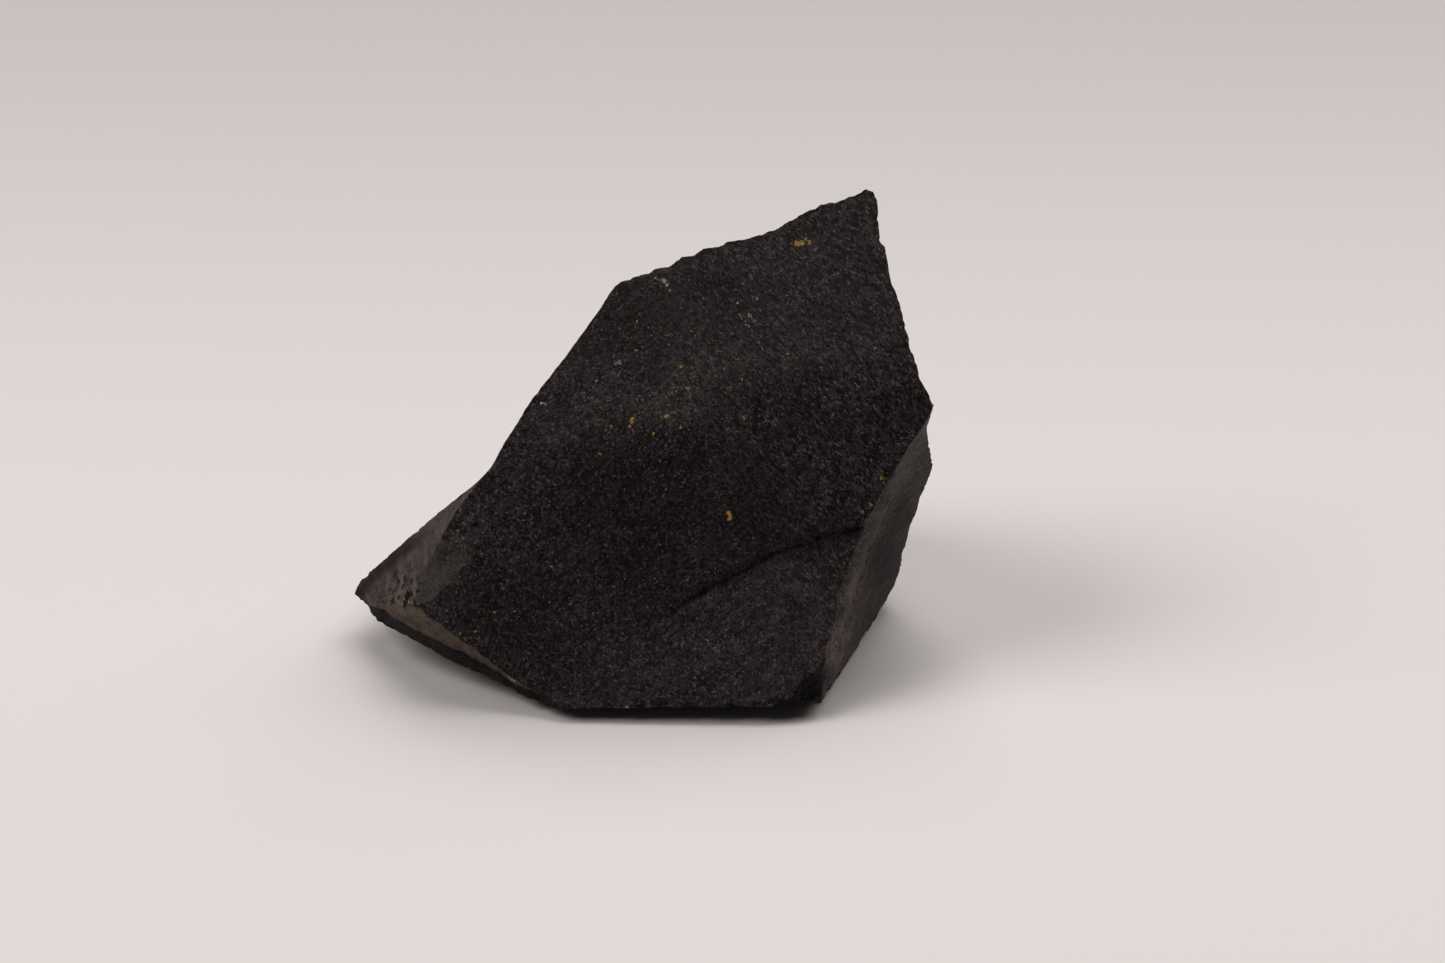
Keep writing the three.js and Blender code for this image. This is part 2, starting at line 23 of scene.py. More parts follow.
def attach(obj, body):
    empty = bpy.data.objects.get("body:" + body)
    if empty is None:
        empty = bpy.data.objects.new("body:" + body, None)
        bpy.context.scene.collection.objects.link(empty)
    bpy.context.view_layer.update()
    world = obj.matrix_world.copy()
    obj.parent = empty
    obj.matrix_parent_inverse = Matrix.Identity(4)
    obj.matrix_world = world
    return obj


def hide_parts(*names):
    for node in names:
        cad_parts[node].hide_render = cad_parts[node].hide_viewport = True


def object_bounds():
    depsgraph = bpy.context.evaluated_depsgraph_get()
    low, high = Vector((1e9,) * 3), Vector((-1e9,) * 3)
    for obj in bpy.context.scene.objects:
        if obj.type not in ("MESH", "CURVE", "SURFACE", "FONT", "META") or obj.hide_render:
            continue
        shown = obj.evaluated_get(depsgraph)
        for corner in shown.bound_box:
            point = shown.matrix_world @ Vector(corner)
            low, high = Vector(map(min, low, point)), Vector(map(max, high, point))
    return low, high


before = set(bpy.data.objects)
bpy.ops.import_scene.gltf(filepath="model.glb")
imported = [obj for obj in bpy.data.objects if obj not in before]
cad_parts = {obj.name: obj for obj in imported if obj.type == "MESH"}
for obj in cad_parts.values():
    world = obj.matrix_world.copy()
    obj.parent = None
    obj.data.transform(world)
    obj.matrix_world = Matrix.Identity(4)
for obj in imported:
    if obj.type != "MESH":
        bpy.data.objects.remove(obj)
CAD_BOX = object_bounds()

MM = 0.001  # one millimetre in Blender's metres

scene = bpy.context.scene
size_mm = [(high - low) / MM for low, high in zip(*CAD_BOX)]
print("the stone measures", [round(side, 1) for side in size_mm], "mm")

# %% [markdown]
# ## Places on the split face
#
# Most of what is seen lies on one large split face, which leans back from upright. It is easier to say where
# a fleck or a ripple is on that face than in the stone's own frame: so far across, so far up its slope, and
# so far back from it. One helper turns such a place into the stone's frame.

# %% Places on the split face
LEAN = math.radians(28.7)
LIP_MIDDLE = Vector((9.50, -24.07, 2.0))  # mm, on the lower lip of the split face

ACROSS = Vector((1, 0, 0))
UP_SLOPE = Vector((0, math.sin(LEAN), math.cos(LEAN)))
INTO_STONE = Vector((0, math.cos(LEAN), -math.sin(LEAN)))


def on_split(across, up, back=0.0):
    """A place on the leaning split face, in millimetres from the middle of its lip, in the stone's frame."""
    return (LIP_MIDDLE + across * ACROSS + up * UP_SLOPE + back * INTO_STONE) * MM


print("top of the split face, mm:", [round(c / MM, 1) for c in on_split(17.3, 59.4, 3.0)])

# %% [markdown]
# ## Camera
#
# A long lens about 40 cm away looks straight at the split face, so its line of sight leans down by the same
# angle as the face leans back. The lens is long, so the stone shows little perspective.

# %% Camera
FOCAL_LENGTH = 84.2  # mm
SENSOR_WIDTH = 36.0  # mm
CAMERA_DISTANCE = 385.8  # mm, from the split face
AIM = on_split(0.0, 25.97)  # the place that the camera's middle looks at

camera_data = bpy.data.cameras.new("camera")
camera_data.lens = FOCAL_LENGTH
camera_data.sensor_width = SENSOR_WIDTH
camera_data.clip_start = 0.02
camera_data.clip_end = 20.0
camera = bpy.data.objects.new("camera", camera_data)
camera.location = AIM - INTO_STONE * CAMERA_DISTANCE * MM
camera.rotation_euler = INTO_STONE.to_track_quat("-Z", "Y").to_euler()
scene.collection.objects.link(camera)
scene.camera = camera
print("camera at", [round(c / MM, 1) for c in camera.location], "mm")

# %% [markdown]
# ## The stone's fine skin
#
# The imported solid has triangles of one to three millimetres. A broken face of jasper has form down to a few
# tenths of a millimetre, so the skin needs far smaller triangles. A displacement shader would show such form
# only in a render. Here it is made as real geometry instead: the solid is copied and welded, and its edges
# are halved over and over until they are short, shortest on the faces that are seen most.

# %% Copy and weld the solid
WELD_DISTANCE = 0.002  # mm

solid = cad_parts["stone"]
bm = bmesh.new()
bm.from_mesh(solid.data)
bmesh.ops.remove_doubles(bm, verts=bm.verts, dist=WELD_DISTANCE * MM)
bm.normal_update()
print(len(bm.faces), "triangles welded")

# %% [markdown]
# ## Zones of the broken surface
#
# Not every face broke in the same way. The flanks, and a small bevel beside the left one, broke clean: they
# are smoother and paler than the split face, and the flanks are painted lighter still, as painted light, where
# they face the lamps. A narrow strip below the left flank kept an earthy brown skin and is painted lighter for
# the light that it catches, and the strip under it lies in its shade, which is painted as a much darker tone.
# A chip at the right end of the lip is rough and darker.
#
# Each zone is an outline on the split face: so far across and so far up, in mm. A triangle of the solid
# belongs to a zone if its middle lies inside the outline and nothing stands before it when the stone is
# looked at from the front. A ray cast from the camera tells that. The zones are decided here, on the solid's
# own triangles, so their borders run exactly along its edges.

# %% Zones
BEVEL_EDGE = [(-35.7, 11.6), (-35.1, 14.3), (-33.8, 16.6), (-32.4, 19.3)]  # shared with the left flank
STRIP_EDGE = [  # shared by the two strips
    (-20.3, 1.3), (-23.9, 2.7), (-28.2, 5.3), (-32.7, 7.3), (-38.2, 10.0), (-40.4, 11.1), (-42.5, 11.5),
]
BEVEL = [(-30.0, 23.3), (-27.9, 20.4), (-28.9, 17.0), (-31.2, 14.5), (-33.3, 12.3)] + BEVEL_EDGE
STRIP = [(-35.7, 11.6), (-32.4, 9.5), (-28.4, 6.6), (-23.8, 3.2)] + STRIP_EDGE + [(-40.2, 11.7)]
LOWER_STRIP = STRIP_EDGE[::-1] + [(-18.6, -0.2), (-30.0, -4.0), (-44.0, 4.0)]
CHIP = [(7.7, 1.0), (9.0, 3.2), (10.9, 4.3), (11.8, 6.5), (11.6, 3.3), (11.2, 0.5)]
LEFT_RIM = [(-27.9, 26.0), (-33.5, 21.9), (-37.9, 18.4), (-43.2, 14.2)]  # the upper left edge of the flank
LEFT_FLANK = LEFT_RIM + [(-44.5, 12.0), (-42.5, 11.5), (-40.2, 11.7)] + BEVEL_EDGE + [(-30.0, 23.3)]
RIGHT_BORDER = [
    (24.2, 34.8), (23.5, 33.2), (20.9, 29.3), (18.6, 25.3), (16.5, 21.5),
    (14.6, 17.0), (13.2, 12.7), (12.8, 9.5), (11.8, 6.5),
]
RIGHT_FLANK = RIGHT_BORDER + [(11.6, 3.3), (11.2, 0.5), (30.0, -5.0), (30.0, 34.8)]

# how much lighter than the split face (partly painted light and shade), how earthy, how olive and how smooth
# each zone is
ZONES = {
    "plain": (1.0, 0.0, 0.0, 0.0),
    "bevel": (1.25, 0.0, 0.85, 0.5),
    "strip": (1.25, 1.0, 0.0, 0.2),
    "lower strip": (0.3, 0.3, 0.0, 0.2),
    "chip": (0.35, 0.0, 0.0, 0.0),
    "left flank": (1.18, 0.0, 0.0, 0.9),
    "right flank": (1.12, 0.0, 0.0, 0.55),
}
OUTLINES = {
    "bevel": BEVEL,
    "strip": STRIP,
    "lower strip": LOWER_STRIP,
    "chip": CHIP,
    "left flank": LEFT_FLANK,
    "right flank": RIGHT_FLANK,
}


def is_inside(outline, across, up):
    """Whether a line drawn from this place to the right crosses the outline an odd number of times."""
    crossings = 0
    for (across_a, up_a), (across_b, up_b) in zip(outline, outline[1:] + outline[:1]):
        if (up_a > up) != (up_b > up):
            crossing = across_a + (up - up_a) * (across_b - across_a) / (up_b - up_a)
            crossings += crossing > across
    return crossings % 2 == 1


def zone_of(face):
    """The name of the zone that this triangle of the solid belongs to."""
    middle = face.calc_center_median()
    sight = middle - camera.location
    if solid_tree.ray_cast(camera.location, sight.normalized())[2] != face.index:
        return "plain"
    place = middle / MM - LIP_MIDDLE
    across, up = place.dot(ACROSS), place.dot(UP_SLOPE)
    for name, outline in OUTLINES.items():
        if is_inside(outline, across, up):
            return name
    return "plain"


bm.faces.index_update()
solid_tree = BVHTree.FromBMesh(bm)
zone_names = list(ZONES)
zone_layer = bm.faces.layers.int.new("zone")
for face in bm.faces:
    face[zone_layer] = zone_names.index(zone_of(face))
for number, name in enumerate(zone_names):
    print(name, sum(face[zone_layer] == number for face in bm.faces), "triangles")

# %% [markdown]
# ## Where the sharp edges run
#
# The sharp edges give a broken stone its character, so they are found before anything is changed: they are
# the folds between the solid's triangles that are steeper than its low relief. The relief is lower on the
# faces that look forwards, so there a smaller fold already counts. The borders between zones count too. Later
# steps ask how far a point is from the nearest edge, and a search tree of places along the edges answers that
# quickly.

# %% Find the sharp edges
SEEN_FOLD = math.radians(13)  # a fold that counts as an edge of the stone, on the faces that look forwards
HIDDEN_FOLD = math.radians(25)  # on the back and the underside
FLANK_FOLD = math.radians(50)  # and on the right flank, which is smooth all over
FORWARDS = 0.15  # a face looks forwards from here, where 1 is straight at the front and 0 is sideways
EDGE_STEP = 0.15  # mm, between the places along the edges


def looks_forwards(edge):
    """How far the more forward of this edge's two faces looks forwards: 1 is straight, 0 is sideways."""
    return max(-face.normal.dot(INTO_STONE) for face in edge.link_faces)


def is_sharp(edge):
    """Whether this edge of the solid is an edge of the stone."""
    zones_beside = {zone_names[face[zone_layer]] for face in edge.link_faces}
    if len(zones_beside) > 1:
        return True
    if zones_beside == {"right flank"}:
        return edge.calc_face_angle() > FLANK_FOLD
    return edge.calc_face_angle() > (SEEN_FOLD if looks_forwards(edge) > FORWARDS else HIDDEN_FOLD)


edge_places = []
for edge in filter(is_sharp, bm.edges):
    start, end = (vert.co for vert in edge.verts)
    steps = math.ceil(edge.calc_length() / (EDGE_STEP * MM))
    edge_places += [start.lerp(end, step / steps) for step in range(steps + 1)]
edge_tree = KDTree(len(edge_places))
for index, place in enumerate(edge_places):
    edge_tree.insert(place, index)
edge_tree.balance()
print("sharp edges:", round(len(edge_places) * EDGE_STEP), "mm in all")

# %% [markdown]
# ## Smaller triangles where they are seen
#
# Every edge that is too long gets a new corner in its middle, and the two triangles beside it are split
# there. The longest edge of each round goes first, which keeps the triangles from turning into slivers. The
# wanted length is short on the faces that look forwards, shorter still along their sharp edges and where the
# small pits will be, and long on the back. The number of rounds is fixed, so the work always ends.

# %% Halve the long edges
SEEN_LENGTH = 0.42  # mm, longest triangle side on the faces that look forwards
HIDDEN_LENGTH = 0.85  # on the back and the underside
CRISP_LENGTH = 0.27  # beside the sharp edges that are seen, and among the small pits
TURNED_AWAY = 0.1  # the length starts to shrink on faces that are turned this little past sideways
TURN = 0.3  # and is at its shortest after this much more
NEAR_EDGE = 2 * EDGE_STEP  # mm
PITS_MIDDLE = on_split(-37.0, 13.3, 5.0)
PITS_REACH = 4.0  # mm
HALVING_ROUNDS = 8


def wanted_length(edge):
    """The longest that this edge may be, in metres."""
    seen = min(max((looks_forwards(edge) + TURNED_AWAY) / TURN, 0.0), 1.0)
    length = HIDDEN_LENGTH + (SEEN_LENGTH - HIDDEN_LENGTH) * seen
    middle = (edge.verts[0].co + edge.verts[1].co) / 2
    near_pits = (middle - PITS_MIDDLE).length < PITS_REACH * MM
    if seen > 0 and (near_pits or edge_tree.find(middle)[2] < NEAR_EDGE * MM):
        length = CRISP_LENGTH
    return length * MM


def halve(edge):
    """Puts a new corner in the middle of this edge and splits the two triangles beside it there."""
    middle = bmesh.utils.edge_split(edge, edge.verts[0], 0.5)[1]
    for face in list(middle.link_faces):
        corners = list(face.verts)
        opposite = corners[corners.index(middle) - 2]
        bmesh.utils.face_split(face, middle, opposite)


for _ in range(HALVING_ROUNDS):
    long_edges = [edge for edge in bm.edges if edge.calc_length() > wanted_length(edge)]
    for edge in sorted(long_edges, key=bmesh.types.BMEdge.calc_length, reverse=True):
        halve(edge)
    bm.normal_update()
print(len(long_edges), "edges were too long in the last round")
print(len(bm.faces), "triangles in the skin")

# %% [markdown]
# ## Smooth faces, worn edges
#
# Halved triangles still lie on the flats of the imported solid. Jasper breaks in smooth curves, so every point
# moves a little towards the middle of its neighbours, over and over, while the points on the sharp edges
# stay. The edges themselves are only a little worn: one weak round more takes off their very corner.
#
# All of this is arithmetic on thousands of points, so the skin is held as arrays from here on.

# %% The skin as arrays
bm.verts.index_update()
points = np.array([vert.co[:] for vert in bm.verts])
edges = np.array([[vert.index for vert in edge.verts] for edge in bm.edges])
triangles = np.array([[vert.index for vert in face.verts] for face in bm.faces])
zone_numbers = np.array([face[zone_layer] for face in bm.faces])
bm.free()
print(len(points), "points and", len(edges), "edges")


def neighbour_means(values):
    """For every point, the mean of this value over the points it shares an edge with."""
    ends = np.concatenate([edges[:, 0], edges[:, 1]])
    others = np.concatenate([edges[:, 1], edges[:, 0]])
    counts = np.bincount(ends, minlength=len(points))
    sums = [np.bincount(ends, values[others, axis], len(points)) for axis in range(values.shape[1])]
    return np.stack(sums, axis=1) / counts[:, None]


def smoothed(points, strengths, rounds):
    """Each point moved towards the mean of its neighbours, by a strength of its own, this many times."""
    for _ in range(rounds):
        points = points + strengths[:, None] * (neighbour_means(points) - points)
    return points


def normals_of(points):
    """The outward direction at every point: the sum of its triangles' facings, made one long."""
    a, b, c = (points[triangles[:, corner]] for corner in range(3))
    facings = np.cross(b - a, c - a)
    sums = np.zeros_like(points)
    for corner in range(3):
        for axis in range(3):
            sums[:, axis] += np.bincount(triangles[:, corner], facings[:, axis], len(points))
    return sums / np.linalg.norm(sums, axis=1)[:, None]


def smooth_step(values, low, high):
    """0 below low, 1 above high and an easy curve between."""
    share = np.clip((values - low) / (high - low), 0.0, 1.0)
    return share * share * (3.0 - 2.0 * share)


def noise_at(points, spacing, offset=0.0):
    """Smooth noise from about -1 to 1 at every point, with swells this far apart in millimetres.

    The offset takes another part of the same noise, so that no two forms on the stone line up.
    """
    shift = Vector((offset, offset, offset))
    return np.array([noise.noise(Vector(point) / (spacing * MM) + shift) for point in points])


# %% Smooth the faces and wear the edges
SMOOTHING = 0.5  # how much of the way to its neighbours' middle a point moves in one round
FACE_ROUNDS = 24
FLANK_ROUNDS = 70  # more, on the right flank
EDGE_WEAR = 0.3
EDGE_CORE = 0.03  # mm, a point this near to a sharp edge stays where it is
EDGE_MARGIN = 0.45  # mm, and one this far from it moves freely

to_edge = np.array([edge_tree.find(point)[2] for point in points]) / MM
off_edge = smooth_step(to_edge, EDGE_CORE, EDGE_MARGIN)
points = smoothed(points, SMOOTHING * off_edge, FACE_ROUNDS)
on_flank = np.zeros(len(points))
on_flank[triangles[zone_numbers == zone_names.index("right flank")]] = 1.0
points = smoothed(points, SMOOTHING * off_edge * on_flank, FLANK_ROUNDS)
points = smoothed(points, EDGE_WEAR * (1.0 - off_edge) * (1.0 + noise_at(points, 2.5)), 1)
normals = normals_of(points)
print(round(float((to_edge < EDGE_MARGIN).mean()) * 100), "% of the points lie beside a sharp edge")

# %% [markdown]
# ## Low relief
#
# Three kinds of small form lie on the faces. Soft swells a few millimetres apart make a broken face catch the
# light unevenly. Finer bumps give it its dull, sandy look. And along the edges tiny flakes have sprung off,
# which leaves shallow nicks. Each is noise of its own spacing, added along the outward direction, so what is
# seen close up is real geometry and not only shading.

# %% Swells, bumps and nicks
SWELL_HEIGHT = 0.05  # mm
BUMP_HEIGHT = 0.025
NICK_DEPTH = 0.32
NICK_REACH = 0.9  # mm, how far a nick reaches in from its edge
CHIP_DEPTH = 0.12  # the smallest chips, a few tenths of a millimetre apart
CHIP_REACH = 0.4
GROUND_MARGIN = 0.4  # the flat that the stone rests on stays flat, and so does what is just above it

swells = SWELL_HEIGHT * (noise_at(points, 3.5, 11.0) + 0.5 * noise_at(points, 1.6, 23.0))
bumps = BUMP_HEIGHT * noise_at(points, 0.75, 31.0)
nicks = NICK_DEPTH * smooth_step(noise_at(points, 1.9, 47.0), 0.15, 0.6)
nicks = nicks * (1.0 - smooth_step(to_edge, 0.0, NICK_REACH))
chips = CHIP_DEPTH * smooth_step(noise_at(points, 0.7, 59.0), 0.0, 0.5)
chips = chips * (1.0 - smooth_step(to_edge, 0.0, CHIP_REACH))
off_ground = smooth_step(points[:, 2] / MM, 0.0, GROUND_MARGIN)
rise = (swells * off_edge + bumps - nicks - chips) * off_ground
points = points + (rise * MM)[:, None] * normals
print("deepest nick", round(float((nicks + chips).max()), 2), "mm")

# %% [markdown]
# ## What is in sight
#
# The marks below belong to the faces that are seen from the front, and none may show through on the back. A
# point counts as seen if it looks towards the camera and if a ray from the camera reaches it before any other
# part of the skin. That is yes or no for each point, so the answer is softened over a few neighbours.

# %% What is in sight
SIGHT_SLACK = 0.3  # mm, a ray may stop this far before the point that it is aimed at
SIGHT_ROUNDS = 4

in_mm = points / MM - np.array(LIP_MIDDLE)
places = np.stack([in_mm @ np.array(ACROSS), in_mm @ np.array(UP_SLOPE)], axis=1)  # across and up, in mm
front_tree = BVHTree.FromPolygons(points.tolist(), triangles.tolist())


def is_in_sight(point):
    """Whether nothing lies between the camera and this point of the skin."""
    sight = Vector(point) - camera.location
    distance = front_tree.ray_cast(camera.location, sight.normalized())[3]
    return distance is None or distance > sight.length - SIGHT_SLACK * MM


in_sight = np.array([[float(is_in_sight(point))] for point in points])
for _ in range(SIGHT_ROUNDS):
    in_sight = neighbour_means(in_sight)
seen = smooth_step(-normals @ np.array(INTO_STONE), -0.10, 0.05) * in_sight[:, 0]  # 1 on the faces in front
print(round(float(seen.mean()) * 100), "% of the points are seen from the front")

# %% [markdown]
# ## Crease and pits
#
# The ledge that crosses the lower right of the split face runs out to the left in a faint crease. Small pits
# lie where the left flank meets the brown strip, where the stone crumbled a little. Both are pressed into the
# skin here: the crease along a line, and the pits where a noise of their own size is high.

# %% Crease and pits
CREASE = [(1.8, 15.9), (-0.9, 14.5), (-6.2, 10.7), (-14.8, 7.2), (-16.6, 4.9)]
CREASE_DEPTH = 0.12  # mm
PITTED = (-36.9, 13.4, 2.9)  # across, up and radius
PIT_DEPTH = 0.6


def distance_to(across, up):
    """How far every point is from this place, in mm, as seen along the split face."""
    return np.hypot(places[:, 0] - across, places[:, 1] - up)


def distance_to_line(corners):
    """How far every point is from a line through these places, in mm."""
    nearest = np.full(len(points), np.inf)
    for start, end in zip(np.array(corners), np.array(corners[1:])):
        along = np.clip((places - start) @ (end - start) / ((end - start) @ (end - start)), 0.0, 1.0)
        on_line = start + along[:, None] * (end - start)
        nearest = np.minimum(nearest, np.linalg.norm(places - on_line, axis=1))
    return nearest


crease = seen * (1.0 - smooth_step(distance_to_line(CREASE), 0.1, 0.8))
crease = crease * smooth_step(places[:, 0], -14.0, 2.0)  # it fades out to the left
crease = crease * (0.75 + 0.4 * noise_at(points, 3.0, 71.0))
pitting = noise_at(points, 1.1, 83.0)
pitted = seen * (1.0 - smooth_step(distance_to(*PITTED[:2]), 0.5 * PITTED[2], PITTED[2]))
pits = smooth_step(pitting, 0.05, 0.35) * pitted
pit_rims = smooth_step(pitting, -0.2, -0.05) * (1.0 - smooth_step(pitting, 0.0, 0.15)) * pitted
points = points - ((CREASE_DEPTH * crease + PIT_DEPTH * pits) * MM)[:, None] * normals
print("points in the crease:", int((crease > 0.1).sum()), "and in the pits:", int((pits > 0.1).sum()))

# %% [markdown]
# ## Painted light and shade
#
# On so dark a stone the tone tells the form as much as the light does, so light and shade are painted into the
# colour here. The crease and the pits are painted darker, as painted shade, a band along the upper left rim of
# the left flank is darker, and the rims of the pits are lighter. Most of the soft round patches are painted
# light and shade as well: darker in hollows, below the ridge, above the ledge and over the middle of the split
# face, and lighter where a slope catches more light. Each patch has a factor of its own. The factors are
# multiplied into one value of painted light and shade, which is stored with each point of the skin, and the
# material reads it from there.

# %% Painted light and shade
FLANK_RIM = LEFT_RIM + [(-43.8, 12.6)]  # the dark rim of the left flank
# painted shade: the crease and the pits are painted darker by these factors
CREASE_SHADE = 0.6  # how much darker each mark is
PIT_SHADE = 0.7
RIM_SHADE = 0.7
PIT_RIM_GLOW = 0.7  # and how much lighter the rims of the pits are

# most patches are painted light and shade: a factor below 1 paints shade, above 1 paints light
PATCHES = [  # across, up, radius, and how much lighter than their surroundings
    (21.2, 22.0, 3.0, 0.6), (19.9, 16.6, 5.0, 0.5), (18.4, 11.6, 3.4, 0.75), (14.6, 6.0, 5.0, 1.8),
    (16.0, 13.0, 3.0, 1.4), (-12.2, 39.6, 3.0, 1.4), (-4.5, 35.2, 4.5, 1.25),
    (-1.9, 13.0, 2.5, 1.35), (-33.1, 18.1, 2.5, 0.85), (-38.5, 14.0, 3.0, 1.2),
    (-15.0, 27.3, 4.5, 0.8), (-9.0, 28.5, 4.5, 0.8), (-3.0, 29.0, 4.5, 0.8), (3.0, 28.5, 4.5, 0.85),
    (-9.5, 20.5, 16.0, 0.62), (5.0, 22.0, 7.5, 0.65), (-24.0, 10.5, 9.0, 0.68), (-19.0, 5.0, 8.0, 0.8),
    (-11.0, 43.5, 9.0, 0.6), (0.0, 47.0, 7.0, 0.8), (-8.0, 36.0, 8.0, 1.1), (9.0, 15.5, 5.0, 1.15),
]

rim = seen * (1.0 - smooth_step(distance_to_line(FLANK_RIM), 0.9, 1.9))
rim = rim * (1.0 - 0.8 * smooth_step(places[:, 1], 17.5, 21.0))  # weaker towards the top
# all the painted light and shade, multiplied into one value for each point
painted_light_and_shade = (1.0 - CREASE_SHADE * crease) * (1.0 - PIT_SHADE * pits)
painted_light_and_shade = painted_light_and_shade * (1.0 + PIT_RIM_GLOW * pit_rims) * (1.0 - RIM_SHADE * rim)
for across, up, radius, factor in PATCHES:
    patch = seen * (1.0 - smooth_step(distance_to(across, up), 0.2 * radius, radius))
    painted_light_and_shade = painted_light_and_shade * (1.0 + (factor - 1.0) * patch)
combed = smooth_step(places[:, 0] + 0.4 * places[:, 1], 2.0, 22.0)  # the grain is combed towards the right
print("lightness from", round(float(painted_light_and_shade.min()), 2), "to", round(float(painted_light_and_shade.max()), 2))

# %% [markdown]
# ## The skin becomes an object
#
# The zones were numbered on the solid's triangles, and halving handed the numbers down. They turn into four
# values here, one set for each small triangle: lightness, earth, olive and smoothness. Inside a zone a value
# may still change: the right flank has a band of painted light beside its border, and the bevel fades out
# upwards. The plain stone that is never seen from the front is taken to be smoother than the split face, and
# the left side behind its flank to be as clean as the flank.

# %% Make the skin an object
KEPT_SHARP = math.radians(32)  # steeper folds between the skin's triangles are shaded as edges
# painted light: the band beside the right flank's border is painted lighter
BORDER_PAINTED_LIGHT = 0.45  # how much lighter the band beside the right flank's border is
HIDDEN_SMOOTH = 0.4  # how much smoother the hidden faces are
LEFT_SMOOTH = 0.5  # how much smoother again the left side is
LEFT_GLOW = 0.3  # and how much lighter

skin_mesh = bpy.data.meshes.new("stone_skin")
skin_mesh.from_pydata(points.tolist(), [], triangles.tolist())
skin_mesh.polygons.foreach_set("use_smooth", [True] * len(triangles))
skin_mesh.set_sharp_from_angle(angle=KEPT_SHARP)
for name, values in (("painted_light_and_shade", painted_light_and_shade), ("combed", combed)):
    skin_mesh.attributes.new(name, "FLOAT", "POINT").data.foreach_set("value", values)

beside_border = 1.0 - smooth_step(distance_to_line(RIGHT_BORDER), 0.6, 3.4)
bevel_fade = 1.0 - smooth_step(places[:, 1] + 0.5 * noise_at(points, 1.0, 97.0), 16.0, 20.5)
hidden = 1.0 - seen
on_left = hidden * (1.0 - smooth_step(places[:, 0] + 2.5 * noise_at(points, 6.0, 113.0), -25.0, -14.0))

zone_values = np.array(list(ZONES.values()))[zone_numbers]
on_right = zone_numbers == zone_names.index("right flank")
zone_values[on_right, 0] *= 1.0 + BORDER_PAINTED_LIGHT * beside_border[triangles[on_right]].mean(axis=1)
on_bevel = zone_numbers == zone_names.index("bevel")
zone_values[on_bevel, 2:] *= bevel_fade[triangles[on_bevel]].mean(axis=1)[:, None]
on_plain = zone_numbers == zone_names.index("plain")
zone_values[on_plain, 0] += LEFT_GLOW * on_left[triangles[on_plain]].mean(axis=1)
plain_smooth = HIDDEN_SMOOTH * hidden + LEFT_SMOOTH * on_left
zone_values[on_plain, 3] = plain_smooth[triangles[on_plain]].mean(axis=1)
for column, name in enumerate(("zone_lightness", "earthy", "olive", "smooth")):
    skin_mesh.attributes.new(name, "FLOAT", "FACE").data.foreach_set("value", zone_values[:, column])

stone = bpy.data.objects.new("stone_skin", skin_mesh)
scene.collection.objects.link(stone)
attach(stone, "root")
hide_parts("stone")
print("skin:", len(skin_mesh.vertices), "points,", len(skin_mesh.polygons), "triangles")

# %% [markdown]
# ## Helpers for materials
#
# Materials here are built from nodes in code. One helper adds a node, sets its inputs by name or number, and
# links those that are given as another node's output. A few more make the nodes that are used most.

# %% Node helpers


def fill_inputs(tree, node, inputs):
    """Sets a node's inputs, by name or number, to values or to other nodes' outputs."""
    for key, value in inputs.items():
        if isinstance(value, bpy.types.NodeSocket):
            tree.links.new(value, node.inputs[key])
        else:
            node.inputs[key].default_value = value


def add_node(tree, kind, inputs=None, **settings):
    """Adds a node of this kind with its settings and inputs."""
    node = tree.nodes.new(kind)
    for name, value in settings.items():
        setattr(node, name, value)
    fill_inputs(tree, node, inputs or {})
    return node


def maths(tree, operation, *values):
    """One Math node. Returns its output."""
    return add_node(tree, "ShaderNodeMath", dict(enumerate(values)), operation=operation).outputs[0]


def vector_maths(tree, operation, *values):
    """One Vector Math node for two or three vectors. Returns its vector."""
    node = add_node(tree, "ShaderNodeVectorMath", dict(enumerate(values)), operation=operation)
    return node.outputs["Vector"]


def distance_between(tree, one, other):
    """How far apart two places are, in metres."""
    node = add_node(tree, "ShaderNodeVectorMath", {0: one, 1: other}, operation="DISTANCE")
    return node.outputs["Value"]


def eased(tree, value, low, high):
    """0 at low, 1 at high, eased between. High may be less than low."""
    inputs = {"Value": value, "From Min": low, "From Max": high}
    return add_node(tree, "ShaderNodeMapRange", inputs, interpolation_type="SMOOTHSTEP").outputs["Result"]


def blended(tree, share, one, other):
    """One colour turning into the other as the share goes from 0 to 1."""
    mix = add_node(tree, "ShaderNodeMix", data_type="RGBA")
    colour_inputs = {socket.identifier: number for number, socket in enumerate(mix.inputs)}
    numbers = [colour_inputs[name] for name in ("Factor_Float", "A_Color", "B_Color")]
    fill_inputs(tree, mix, dict(zip(numbers, (share, one, other))))
    return next(socket for socket in mix.outputs if socket.identifier == "Result_Color")


def noise_node(tree, vector, per_metre, detail=2.0, roughness=0.5):
    """Noise with about this many swells to the metre. Returns its value, about 0.5 on average."""
    inputs = {"Vector": vector, "Scale": per_metre, "Detail": detail, "Roughness": roughness}
    return add_node(tree, "ShaderNodeTexNoise", inputs).outputs[0]


def turned_place(tree, vector, turn, stretch):
    """The place in a frame that is turned like this, then squeezed by these factors."""
    inputs = {"Vector": vector, "Rotation": turn, "Scale": stretch}
    return add_node(tree, "ShaderNodeMapping", inputs).outputs["Vector"]


def attribute(tree, name):
    """A value that is stored with the mesh."""
    return add_node(tree, "ShaderNodeAttribute", attribute_name=name).outputs["Fac"]


